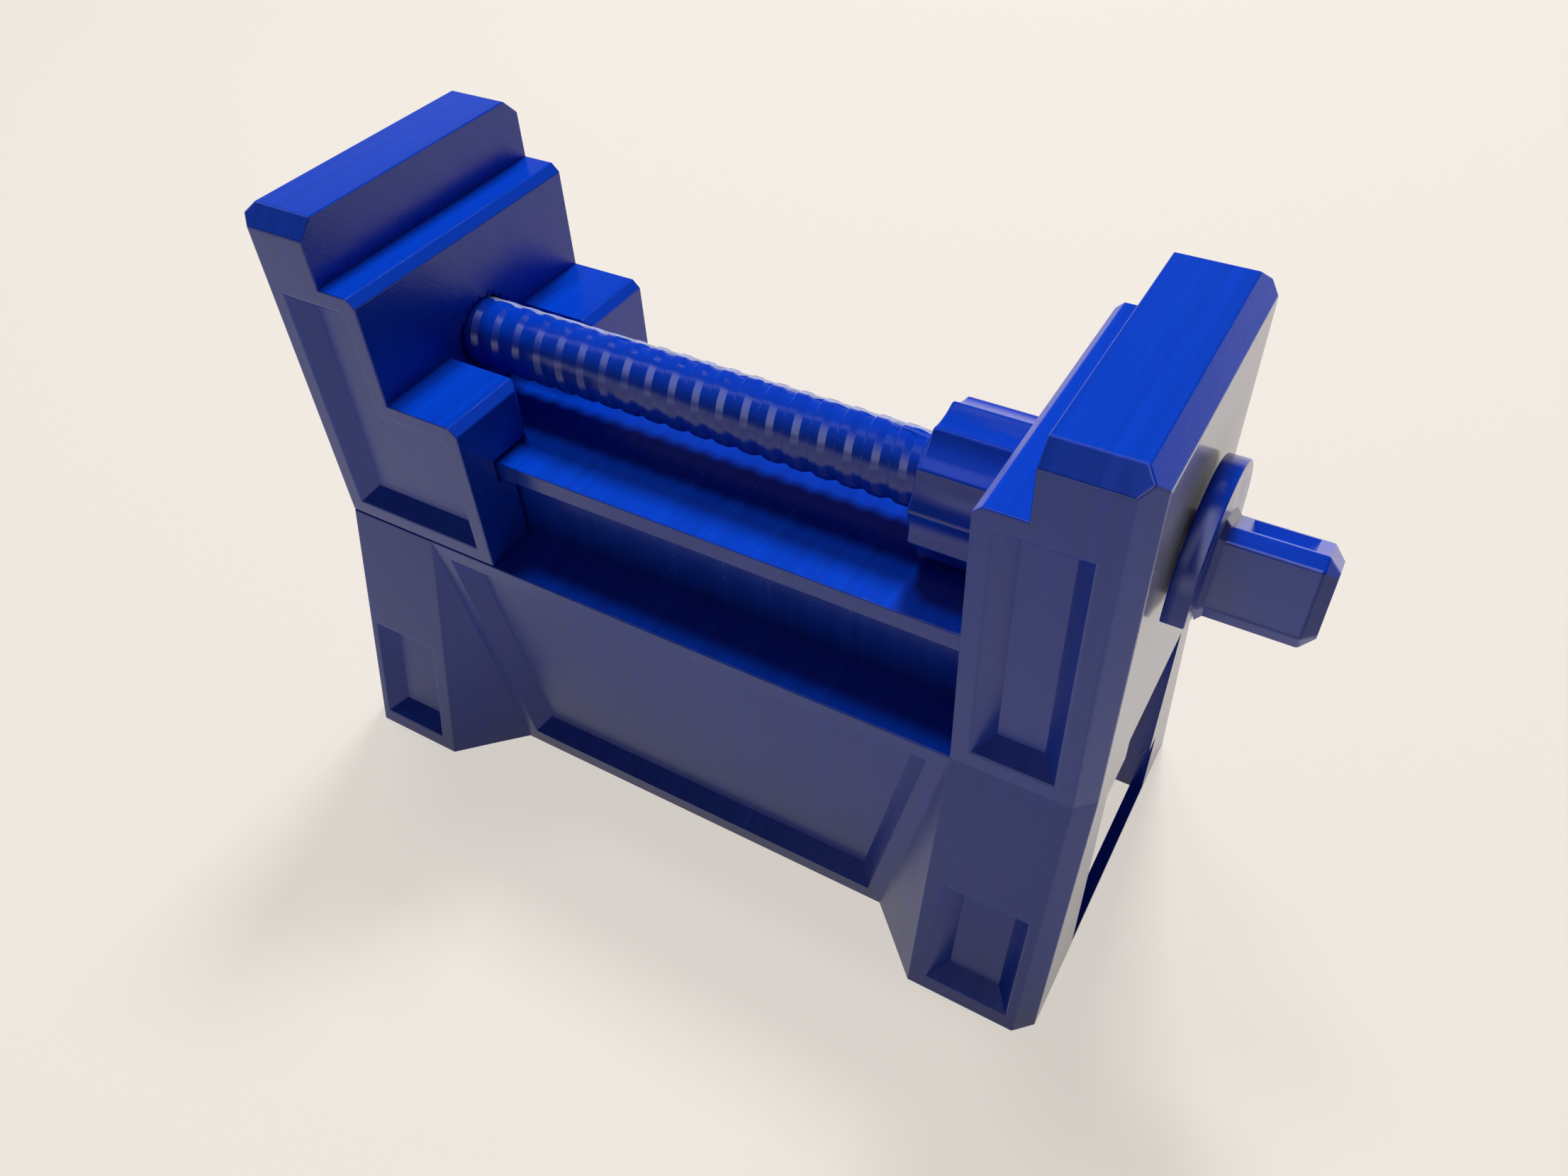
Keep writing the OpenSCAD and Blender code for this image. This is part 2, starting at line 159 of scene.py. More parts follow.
# Grains of each finish, per metre along X, Y and Z. The streaks of the skin and the screw are turned with
# the lines of their finish.
WALL_BANDS = (500, 6, 6)
WALL_GRAIN = (900, 900, 900)
SKIN_STREAKS = (60, 1 / HATCH, 40)
SKIN_CLOUDS = (90, 90, 90)
SKIN_GRAIN = (2000, 2000, 2000)
PLATE_PITS = 2600.0
PLATE_GRAIN = (1800, 1800, 1800)
PLATE_CLOUDS = (150, 150, 150)
SCREW_STREAKS = (45, 900, 1 / LAYER)
SCREW_CLOUDS = (60, 180, 180)
BED_RAGS = (700, 2500, 2500)
SLOPE_STREAKS = (1 / LAYER, 80, 80)
STRING_GRAIN = (3000, 3000, 3000)
TABLE_GRAIN = (300, 300, 300)

# Shares in which the patterns of a finish are added up
BANDS_IN_ROUGH = 0.6
GRAIN_IN_ROUGH = 0.4
LINES_IN_BANDS = 0.15
STREAKS_IN_SKIN = 1.5
GRAIN_IN_SKIN = 0.4
GRAIN_IN_PITS = 1.5
STREAKS_ON_SCREW = 1.6
UNEVEN_IN_STEPS = 0.5

# Relief of each finish: the fine one, and the slower one under it
WALL_RELIEF = (0.0015 * MM, 0.012 * MM)
SKIN_RELIEF = (0.014 * MM, 0.02 * MM)
PLATE_RELIEF = 0.006 * MM
SCREW_RELIEF = (0.003 * MM, 0.008 * MM)
BED_RELIEF = 0.03 * MM
SLOPE_RELIEF = 0.010 * MM
STRING_RELIEF = 0.005 * MM

# Lowest and highest roughness of each finish
WALL_ROUGH = (0.20, 0.28)
SKIN_ROUGH = (0.22, 0.30)
PLATE_ROUGH = (0.04, 0.24)
SCREW_ROUGH = (0.16, 0.22)
BED_ROUGH = (0.3, 0.5)
SLOPE_ROUGH = (0.22, 0.30)
STRING_ROUGH = (0.25, 0.4)
COAT_ROUGH = 0.12
SHEEN_ROUGH = 0.3
PLASTIC_IOR = 1.54
PLATE_POLISH = 0.9

# Share by which each finish's colour gets darker and lighter
WALL_CHANGE = 0.14
SKIN_CHANGE = 0.10
PLATE_CHANGE = 0.08
SCREW_CHANGE = 0.12
BED_CHANGE = 0.5
SLOPE_CHANGE = 0.25
STRING_CHANGE = 0.2
TABLE_CHANGE = 0.004

# Roughness of all soft noise, and the parts of its range that carry a roughness and a colour from end to end
CLOUD_ROUGH = 0.55
ROUGH_RANGE = (0.3, 0.7)
SHADE_RANGE = (0.25, 0.75)

# Slots of the finishes on the base and the jaw
WALL, SKIN, PLATE, SLOPE = 0, 1, 2, 3
# Over this share of X a normal counts as square to the layers
SQUARE = 0.98
# A chamfer across the layers has a share of X between these, and more of Z than the first
SLOPE_TILT = (0.3, 0.9)

# Colours
BLUE = (0.001, 0.047, 0.52)
SCREW_BLUE = (0.001, 0.042, 0.50)
# Painted sheen: the pale blue of the screw's build-plate strip stands in for the grey sheen its grain shows
# at a grazing view
SHEEN_PALE_BLUE = (0.30, 0.34, 0.55)
STRING_BLUE = (0.10, 0.20, 0.75)
TABLE = (0.92, 0.86, 0.79)
TABLE_BOUNCE = (0.62, 0.57, 0.52)
TABLE_GLOW = 0.74
GLOW_STRENGTH = 0.93
BACKDROP = tuple(GLOW_STRENGTH * c for c in TABLE)

# Table: half its width, its cells along each side, how far it lies under the feet, its roughness, and the
# distances from the vise between which it fades into the backdrop
TABLE_HALF = 3.0
TABLE_CELLS = 8
TABLE_DROP = 0.05 * MM
TABLE_ROUGH = 0.5
FADE = (0.7, 2.4)

# Camera
CAMERA_PLACE = Vector((0.11153, -0.17794, 0.26540))
CAMERA_AIM = Vector((0.01494, -0.02768, 0.09000))
CAMERA_ROLL = math.radians(-3.45)
LENS = 27.81
SENSOR = 36
CLIP = (0.01, 20)

# Lamps and panels: compass angle from +X and height angle in degrees, width and height in metres, and
# strength in watts. The lamps light the surfaces, and only the gloss shows the panels. All stand LAMP_FAR
# away and face the point AIM_Z over the floor.
LAMP_FAR = 2.0
AIM_Z = 80 * MM
LAMPS = {
    "key_lamp": (102, 57.5, 0.40, 0.40, 37.0),
    "top_lamp": (139, 70.5, 0.34, 0.34, 11.0)}
PANELS = {
    "left_panel": (145, 19.5, 0.8, 0.35, 0.22),
    "front_panel": (-87, 14, 1.4, 0.5, 2.8),
    "over_panel": (-72, 60, 0.6, 2.7, 12.5),
    "rim_panel": (180, 62, 0.12, 1.7, 1.2),
    "edge_panel": (-176, 25, 0.35, 1.2, 3.0)}
WORLD_LIGHT = (0.05, 0.05, 0.05)
# Heights between which the pale backdrop fades out of the gloss, as sines of the height angle
BACKDROP_TOP = (0.10, 0.22)


# Meshes

def mesh_object(name, points, faces):
    """An object at the origin from an array of points and an array or list of faces."""
    data = bpy.data.meshes.new(name)
    data.from_pydata(points.reshape(-1, 3).tolist(), [], [list(f) for f in faces])
    made = bpy.data.objects.new(name, data)
    bpy.context.scene.collection.objects.link(made)
    return made


def tidy(made, weld):
    """Merges equal points, drops faces that have no area, and turns all faces outwards."""
    work = bmesh.new()
    work.from_mesh(made.data)
    bmesh.ops.remove_doubles(work, verts=work.verts, dist=weld)
    bmesh.ops.dissolve_degenerate(work, edges=work.edges, dist=weld)
    bmesh.ops.recalc_face_normals(work, faces=work.faces)
    work.to_mesh(made.data)
    work.free()
    smooth(made)


def smooth(made):
    made.data.polygons.foreach_set("use_smooth", np.ones(len(made.data.polygons), bool))
    made.data.update()


def ring_faces(rows, cols):
    """Faces of a grid of rows x cols points whose columns close into a ring."""
    r, c = np.meshgrid(np.arange(rows - 1), np.arange(cols), indexing="ij")
    d = (c + 1) % cols
    return np.stack([r * cols + c, r * cols + d, (r + 1) * cols + d, (r + 1) * cols + c], -1).reshape(-1, 4)


def round_edges(made, radius):
    """Rounds the marked edges."""
    bevel = made.modifiers.new("printed_edges", "BEVEL")
    bevel.limit_method = "WEIGHT"
    bevel.width = radius
    bevel.segments = EDGE_STEPS
    bevel.use_clamp_overlap = False


def lean_on_large(made):
    """Turns each point's shading normal towards its larger faces, so that only the fillets look round."""
    lean = made.modifiers.new("large_faces_lead", "WEIGHTED_NORMAL")
    lean.mode = "FACE_AREA"
    lean.weight = LEAN


def printed_copy(name, node, radius, slot_of, keep=None):
    """A copy of a CAD node with its triangles merged and its flat faces joined. Convex edges whose faces
    turn by more than EDGE_TURN are marked for rounding, apart from those in the threaded hole and round the
    hollow of the base. In a piece kept whole, points from half of HOLE_MIN_R to HOLE_MIN_R from the screw's
    axis move straight out to HOLE_MIN_R, and the hole's mouth opens to MOUTH_R. slot_of gives a face's
    finish from its normal and centre, and keep says which faces stay."""
    work = bmesh.new()
    work.from_mesh(frame["nodes"][node].data)
    bmesh.ops.remove_doubles(work, verts=work.verts, dist=WELD)
    if keep is not None:
        gone = [f for f in work.faces if not keep(f.calc_center_median())]
        bmesh.ops.delete(work, geom=gone, context="FACES")
        rim = [e for e in work.edges if e.is_boundary]
        bmesh.ops.edgeloop_fill(work, edges=rim)
    bmesh.ops.dissolve_limit(work, angle_limit=FLAT_TURN, verts=work.verts, edges=work.edges)
    weight = work.edges.layers.float.new("bevel_weight_edge")
    for e in work.edges:
        near = max(math.hypot(v.co.y, v.co.z - AXIS_Z) for v in e.verts)
        turn = e.calc_face_angle_signed(0.0)
        inside = all(abs(v.co.y) < INSIDE_Y and v.co.z < INSIDE_Z for v in e.verts)
        if turn > EDGE_TURN and near > HOLE_ZONE_R and not inside:
            e[weight] = 1.0
    if keep is None:
        for v in work.verts:
            near = math.hypot(v.co.y, v.co.z - AXIS_Z)
            if 0.5 * HOLE_MIN_R < near < HOLE_MIN_R:
                v.co.y *= HOLE_MIN_R / near
                v.co.z = AXIS_Z + (v.co.z - AXIS_Z) * HOLE_MIN_R / near
            elif near < HOLE_ZONE_R and abs(v.co.x - X_MOUTH) < WELD:
                v.co.y *= MOUTH_R / near
                v.co.z = AXIS_Z + (v.co.z - AXIS_Z) * MOUTH_R / near
    for f in work.faces:
        f.material_index = slot_of(f.normal, f.calc_center_median())
        f.smooth = any(FLAT_TURN < e.calc_face_angle(0.0) < CURVE_TURN for e in f.edges)
    data = bpy.data.meshes.new(name)
    work.to_mesh(data)
    work.free()
    made = bpy.data.objects.new(name, data)
    bpy.context.scene.collection.objects.link(made)
    round_edges(made, radius)
    return made


# Thread

def fillet(corner, turn_in, turn_out, radius):
    """Points of the arc that rounds a corner of a line whose slope angle goes from turn_in to turn_out.
    The arc touches both lines at radius * tan(half the turn) from the corner."""
    half = (turn_out - turn_in) / 2
    reach = radius * abs(math.tan(half))
    side = math.copysign(1, half)
    start = np.array(corner) - reach * np.array([math.cos(turn_in), math.sin(turn_in)])
    hub = start + radius * side * np.array([-math.sin(turn_in), math.cos(turn_in)])
    a = np.linspace(turn_in, turn_out, FILLET_STEPS + 1)
    return hub + radius * side * np.stack([np.sin(a), -np.cos(a)], -1)


def thread_profile():
    """One pitch of the thread as (distance along the axis, height over the root): a steep rise, a flat crest
    and a long slope back to the root, with rounded corners."""
    up = math.atan2(THREAD_DEPTH, STEEP_RUN)
    down = -math.atan2(THREAD_DEPTH, SLOPE_RUN)
    b = STEEP_RUN + CREST_W
    arcs = [
        fillet((0, 0), 0, up, THREAD_FILLET),
        fillet((STEEP_RUN, THREAD_DEPTH), up, 0, THREAD_FILLET),
        fillet((b, THREAD_DEPTH), 0, down, THREAD_FILLET),
        fillet((b + SLOPE_RUN, 0), down, 0, THREAD_FILLET)]
    return np.concatenate(arcs)


def threaded_rod(name, x0, x_plain, x1):
    """Right-handed thread on a rod from x0 to x1. A point at distance s along the profile and angle a round
    the axis lies at x = X_TIP + s + PITCH * a / 360 degrees and radius root + height(s), cut by two flats
    at THREAD_R * cos(FLAT_ANGLE / 2) / |cos(a - FLAT_DIR)|. The flat that lay on the build plate also fills
    the grooves, as far round as BED_STRIP + BED_WAVE * the mean of the sines in BED_WAVES. From x_plain on
    it is a plain journal."""
    s, h = thread_profile().T
    # One turn before the tip and one past the end, which the clipping below cuts off
    turns = int(math.ceil((x1 - X_TIP) / PITCH)) + 2
    s = (s[None, :] + PITCH * np.arange(-1, turns - 1)[:, None]).ravel()
    h = np.tile(h, turns)
    a = np.arange(TURN_STEPS + 1) * 2 * math.pi / TURN_STEPS
    x = X_TIP + s[:, None] + PITCH * a[None, :] / (2 * math.pi)
    r = np.broadcast_to(THREAD_R - THREAD_DEPTH + h[:, None], x.shape)
    facing = np.abs(np.cos(a - FLAT_DIR))
    flat = THREAD_R * math.cos(FLAT_ANGLE / 2) / np.maximum(facing, SIDEWAYS)
    wave = sum(np.sin(k * x + phase) for k, phase in BED_WAVES) / len(BED_WAVES)
    on_bed = np.cos(a - FLAT_DIR)[None, :] > np.cos(BED_STRIP + BED_WAVE * wave)
    r = np.where(on_bed, flat[None, :], np.minimum(r, flat[None, :]))
    r = np.where(x > x_plain, THREAD_R, r)
    x = np.clip(x, x0, x1)
    r = np.minimum(r, TIP_R + x - x0)
    points = np.stack([x, r * np.cos(a), AXIS_Z + r * np.sin(a)], -1)
    rows, cols = x.shape
    i, j = np.meshgrid(np.arange(rows - 1), np.arange(cols - 1), indexing="ij")
    n = i * cols + j
    faces = np.stack([n, n + 1, n + cols + 1, n + cols], -1).reshape(-1, 4).tolist()
    hubs = len(points.reshape(-1, 3))
    points = np.concatenate([points.reshape(-1, 3), [[x0, 0, AXIS_Z], [x1, 0, AXIS_Z]]])
    last = (rows - 1) * cols
    faces += [[hubs, k + 1, k] for k in range(cols - 1)]
    faces += [[hubs + 1, last + k, last + k + 1] for k in range(cols - 1)]
    made = mesh_object(name, points, faces)
    tidy(made, FINE_WELD)
    for f in made.data.polygons:
        turn = math.atan2(f.center.z - AXIS_Z, f.center.y) - FLAT_DIR
        f.material_index = 1 if abs(turn) < BED_STRIP else 0
    lean_on_large(made)
    return made


# Lock nut

def flute_radius(a):
    """Radius of the nut's outline at an angle: the circle of the ridges, cut by one shallow arc per flute.
    With the arc's centre at distance d and its radius q, a ray at angle t from it meets the arc at
    d cos t - sqrt(q^2 - d^2 sin^2 t). The ridges are then rounded by a short running mean."""
    step = 2 * math.pi / FLUTES
    half_chord = NUT_R * math.sin(step / 2) - RIDGE_W / 2
    sag = FLUTE_DEPTH - NUT_R * (1 - math.cos(step / 2))
    q = (half_chord ** 2 + sag ** 2) / (2 * sag)
    d = NUT_R - FLUTE_DEPTH + q
    t = (a - RIDGE_ANGLE) % step - step / 2
    r = np.minimum(NUT_R, d * np.cos(t) - np.sqrt(q ** 2 - (d * np.sin(t)) ** 2))
    return (r + np.roll(r, 1) + np.roll(r, -1)) / 3


def fluted_nut(name):
    """The outline carried along a closed section: out along one end, over a rounded edge, along the side and
    back through the bore. Each row of the section is (share, offset, x), and a point's radius is
    share * outline radius + offset."""
    cols = FLUTES * FLUTE_STEPS
    a = np.arange(cols) * 2 * math.pi / cols
    q = np.linspace(0, math.pi / 2, NUT_EDGE_STEPS + 1)
    whole = np.ones_like(q)
    e = NUT_EDGE_R
    x0, x1 = X_NUT, X_NUT_END
    edge0 = np.stack([whole, e * (np.sin(q) - 1), x0 + e * (1 - np.cos(q))], -1)
    edge1 = np.stack([whole, e * (np.cos(q) - 1), x1 - e * (1 - np.sin(q))], -1)
    bore = np.array([
        [0, NUT_BORE_R, x1 - NUT_MOUTH], [0, NUT_BORE_R, x0 + NUT_MOUTH],
        [0, NUT_BORE_R + NUT_MOUTH, x0]])
    face0 = np.array([[0, NUT_BORE_R + NUT_MOUTH, x0]])
    face1 = np.array([[0, NUT_BORE_R + NUT_MOUTH, x1]])
    loop = np.concatenate([face0, edge0, edge1, face1, bore])
    r = loop[:, :1] * flute_radius(a)[None, :] + loop[:, 1:2]
    x = np.broadcast_to(loop[:, 2:3], r.shape)
    points = np.stack([x, r * np.cos(a), AXIS_Z + r * np.sin(a)], -1)
    made = mesh_object(name, points, ring_faces(len(loop), cols))
    tidy(made, WELD)
    lean_on_large(made)
    return made


# Hairs of plastic left by the printer

def hair(name, path, radius):
    """A thin round tube along the curve (1-t)^2 a + 2t(1-t) b + t^2 c of three points. Its radius is
    radius * sqrt(1 - (2t-1)^6), so that it thins to a point at both ends."""
    a, b, c = (np.array(p) * MM for p in path)
    t = np.linspace(0, 1, STRING_ROWS)[:, None]
    line = (1 - t) ** 2 * a + 2 * t * (1 - t) * b + t ** 2 * c
    along = np.gradient(line, axis=0)
    along /= np.linalg.norm(along, axis=1)[:, None]
    side = np.cross(along, ACROSS_STRINGS)
    side /= np.linalg.norm(side, axis=1)[:, None]
    other = np.cross(along, side)
    g = np.arange(STRING_SIDES) * 2 * math.pi / STRING_SIDES
    w = radius * np.sqrt(np.maximum(0.0, 1 - (2 * t - 1) ** 6)) + STRING_TIP_R
    ring = np.cos(g)[None, :, None] * side[:, None, :] + np.sin(g)[None, :, None] * other[:, None, :]
    points = line[:, None, :] + w[:, :, None] * ring
    faces = ring_faces(STRING_ROWS, STRING_SIDES).tolist()
    last = (STRING_ROWS - 1) * STRING_SIDES
    faces += [list(range(STRING_SIDES)), list(range(last + STRING_SIDES - 1, last - 1, -1))]
    made = mesh_object(name, points, faces)
    tidy(made, HAIR_WELD)
    return made


# Finishes

def node(tree, kind, inputs=None, **settings):
    """Adds a node. inputs maps a socket's name or number to a value or to another node's socket."""
    made = tree.nodes.new("ShaderNode" + kind)
    for key, value in settings.items():
        setattr(made, key, value)
    for key, value in (inputs or {}).items():
        if isinstance(value, bpy.types.NodeSocket):
            tree.links.new(value, made.inputs[key])
        else:
            made.inputs[key].default_value = value
    return made


def material(name):
    """An empty material with its output, and its node tree."""
    made = bpy.data.materials.new(name)
    made.use_nodes = True
    tree = made.node_tree
    tree.nodes.clear()
    return made, tree


def placed(tree, scale=(1, 1, 1), turn=0.0):
    """Object coordinates, turned about X and stretched."""
    coords = node(tree, "TexCoord").outputs["Object"]
    turned = node(tree, "Mapping", {"Vector": coords, "Rotation": (turn, 0, 0)}).outputs[0]
    return node(tree, "Mapping", {"Vector": turned, "Scale": scale}).outputs[0]


def ripples(tree, axis, period, wobble, turn=0.0):
    """Fine parallel lines, one per period along an axis of the turned coordinates."""
    return node(tree, "TexWave", {
        "Vector": placed(tree, turn=turn), "Scale": 2 * math.pi / (WAVE_FACTOR * period),
        "Distortion": wobble, "Detail": WOBBLE_DETAIL, "Detail Scale": WOBBLE_SCALE},
        wave_type="BANDS", bands_direction=axis).outputs["Fac"]


def cloud(tree, scale, detail=2.0, turn=0.0):
    """Soft noise with its own grain size along each axis, given as grains per metre."""
    return node(tree, "TexNoise", {
        "Vector": placed(tree, scale, turn), "Scale": 1.0, "Detail": detail,
        "Roughness": CLOUD_ROUGH}).outputs["Fac"]


def add(tree, a, b, share):
    """a + share * b"""
    return node(tree, "Math", {0: b, 1: share, 2: a}, operation="MULTIPLY_ADD").outputs[0]


def product(tree, a, b):
    return node(tree, "Math", {0: a, 1: b}, operation="MULTIPLY").outputs[0]


def larger(tree, a, b):
    return node(tree, "Math", {0: a, 1: b}, operation="MAXIMUM").outputs[0]


def spread(tree, value, low, high):
    """The value's middle range carried over to low ... high."""
    start, end = ROUGH_RANGE
    return node(tree, "MapRange", {
        "Value": value, "From Min": start, "From Max": end, "To Min": low, "To Max": high}).outputs[0]


def shades(tree, value, color, change):
    """The colour made darker and lighter by the given share as value goes from low to high."""
    ramp = node(tree, "ValToRGB", {"Fac": value})
    ends = ramp.color_ramp.elements
    ends[0].position, ends[1].position = SHADE_RANGE
    ends[0].color = (*(c * (1 - change) for c in color), 1)
    ends[1].color = (*(min(1, c * (1 + change)) for c in color), 1)
    return ramp.outputs["Color"]


def bumped(tree, height, distance, under=None):
    """The normal that a relief of the given height makes, over another relief if one is given."""
    inputs = {"Height": height, "Distance": distance, "Strength": 1.0}
    if under is not None:
        inputs["Normal"] = under
    return node(tree, "Bump", inputs).outputs["Normal"]


def plastic(tree, color, rough, normal, polish=0.0):
    """The printed plastic: a plain gloss over a deep colour, and a second gloss where it is polished."""
    shader = node(tree, "BsdfPrincipled", {
        "Base Color": color, "Roughness": rough, "Normal": normal, "IOR": PLASTIC_IOR,
        "Coat Weight": polish, "Coat Roughness": COAT_ROUGH, "Coat Normal": normal,
        "Sheen Weight": polish, "Sheen Roughness": SHEEN_ROUGH})
    out = node(tree, "OutputMaterial")
    tree.links.new(shader.outputs[0], out.inputs[0])


def wall_finish(name, color):
    """Side walls: layers 0.2 mm apart across X, each a little different, in slow bands."""
    made, tree = material(name)
    lines = ripples(tree, "X", LAYER, WALL_WOBBLE)
    bands = cloud(tree, WALL_BANDS, detail=3.0)
    grain = cloud(tree, WALL_GRAIN)
    mixed = add(tree, product(tree, bands, BANDS_IN_ROUGH), grain, GRAIN_IN_ROUGH)
    rough = spread(tree, mixed, *WALL_ROUGH)
    fine, slow = WALL_RELIEF
    normal = bumped(tree, grain, fine, bumped(tree, bands, slow))
    tone = add(tree, bands, lines, LINES_IN_BANDS)
    plastic(tree, shades(tree, tone, color, WALL_CHANGE), rough, normal)
    return made


def skin_finish(name, color):
    """Top skins: strokes 0.42 mm wide laid side by side on the diagonal."""
    made, tree = material(name)
    lines = ripples(tree, "Y", HATCH, SKIN_WOBBLE, turn=DIAGONAL)
    streaks = cloud(tree, SKIN_STREAKS, turn=DIAGONAL)
    soft = cloud(tree, SKIN_CLOUDS, detail=3.0)
    grain = cloud(tree, SKIN_GRAIN)
    height = add(tree, add(tree, lines, streaks, STREAKS_IN_SKIN), grain, GRAIN_IN_SKIN)
    fine, slow = SKIN_RELIEF
    normal = bumped(tree, height, fine, bumped(tree, soft, slow))
    plastic(tree, shades(tree, streaks, color, SKIN_CHANGE), spread(tree, soft, *SKIN_ROUGH), normal)
    return made


def plate_finish(name, color):
    """The side that stood on the grained build plate: dense shallow pits."""
    made, tree = material(name)
    pits = node(tree, "TexVoronoi", {"Vector": placed(tree), "Scale": PLATE_PITS}).outputs["Distance"]
    grain = cloud(tree, PLATE_GRAIN, detail=3.0)
    soft = cloud(tree, PLATE_CLOUDS)
    normal = bumped(tree, add(tree, pits, grain, GRAIN_IN_PITS), PLATE_RELIEF)
    rough = spread(tree, grain, *PLATE_ROUGH)
    plastic(tree, shades(tree, soft, color, PLATE_CHANGE), rough, normal, PLATE_POLISH)
    return made


def screw_finish(name, color):
    """Glossy walls of a piece printed lying down: its layers lie across the tilted print direction, so their
    lines run along the screw."""
    made, tree = material(name)
    lines = ripples(tree, "Z", LAYER, SCREW_WOBBLE, turn=SCREW_TILT)
    streaks = cloud(tree, SCREW_STREAKS, turn=SCREW_TILT)
    soft = cloud(tree, SCREW_CLOUDS)
    height = add(tree, lines, streaks, STREAKS_ON_SCREW)
    fine, slow = SCREW_RELIEF
    normal = bumped(tree, height, fine, bumped(tree, soft, slow))
    plastic(tree, shades(tree, streaks, color, SCREW_CHANGE), spread(tree, soft, *SCREW_ROUGH), normal)
    return made


def bed_finish(name, color):
    """The strip that lay on the build plate: ragged, with its pale colour a painted sheen of the grained
    plate side.
    """
    made, tree = material(name)
    rag = cloud(tree, BED_RAGS, detail=3.0)
    normal = bumped(tree, rag, BED_RELIEF)
    plastic(tree, shades(tree, rag, color, BED_CHANGE), spread(tree, rag, *BED_ROUGH), normal)
    return made


def slope_finish(name, color):
    """Chamfers across the layers, which show as fine steps along Y."""
    made, tree = material(name)
    steps = ripples(tree, "X", STEP_LINE, SLOPE_WOBBLE)
    uneven = cloud(tree, SLOPE_STREAKS, detail=1.0)
    normal = bumped(tree, add(tree, steps, uneven, UNEVEN_IN_STEPS), SLOPE_RELIEF)
    plastic(tree, shades(tree, steps, color, SLOPE_CHANGE), spread(tree, uneven, *SLOPE_ROUGH), normal)
    return made


def string_finish(name, color):
    """Drawn-out plastic, paler because it is thin."""
    made, tree = material(name)
    grain = cloud(tree, STRING_GRAIN, detail=1.0)
    normal = bumped(tree, grain, STRING_RELIEF)
    plastic(tree, shades(tree, grain, color, STRING_CHANGE), spread(tree, grain, *STRING_ROUGH), normal)
    return made


wall = wall_finish("printed_wall", BLUE)
skin = skin_finish("printed_skin", BLUE)
plate = plate_finish("plate_side", BLUE)
slope = slope_finish("stepped_slope", BLUE)
gloss = screw_finish("screw_gloss", SCREW_BLUE)
bed = bed_finish("bed_strip", SHEEN_PALE_BLUE)
thin = string_finish("thin_string", STRING_BLUE)


def slots_by_side(way, x_plate):
    """The rule that gives a face its slot, for a piece whose outer end stood on the build plate. That end is
    at x_plate, and way is the sign of its normal along X."""
    low, high = SLOPE_TILT

    def slot_of(normal, centre):
        facing = way * normal.x
        if facing > SQUARE and way * (centre.x - x_plate) > -EDGE_R:
            return PLATE
        if low < abs(normal.x) < high and normal.z > low:
            return SLOPE
        return SKIN if facing < -SQUARE else WALL
    return slot_of


def one_slot(normal, centre):
    return WALL


def outside_collar(centre):
    """True for the faces from the collar's inner side outwards, without the journal's end inside it."""
    if centre.x < X_COLLAR - COLLAR_SLACK:
        return False
    near = math.hypot(centre.y, centre.z - AXIS_Z)
    return near > THREAD_R - JOURNAL_SLACK or centre.x > X_COLLAR + OVERLAP


def dress(made, finishes, body, nodes=()):
    """Gives a piece its finishes, the body it rides on and the CAD nodes that it stands for."""
    for finish in finishes:
        made.data.materials.append(finish)
    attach(made, body)
    if nodes:
        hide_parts(*nodes)


base = printed_copy("base_body_print", "base_body", EDGE_R, slots_by_side(1, X_END))
dress(base, [wall, skin, plate, slope], "base", ["base_body"])

jaw = printed_copy("sliding_jaw_print", "sliding_jaw", EDGE_R, slots_by_side(-1, X_BACK))
dress(jaw, [wall, skin, plate, slope], "jaw", ["sliding_jaw"])

thread = threaded_rod("screw_thread", X_TIP, X_NUT_END - OVERLAP, X_COLLAR + OVERLAP)
dress(thread, [gloss, bed], "screw", ["lead_screw"])

drive = printed_copy("screw_drive", "lead_screw", EDGE_R, one_slot, outside_collar)
dress(drive, [gloss], "screw")

nut = fluted_nut("lock_nut_print")
dress(nut, [gloss], "screw", ["lock_nut"])

end_string = hair("end_opening_string", END_STRING, STRING_R)
dress(end_string, [thin], "base")

screw_string = hair("screw_string", SCREW_STRING, STRING_R)
dress(screw_string, [thin], "screw")


# Table, lamps and camera

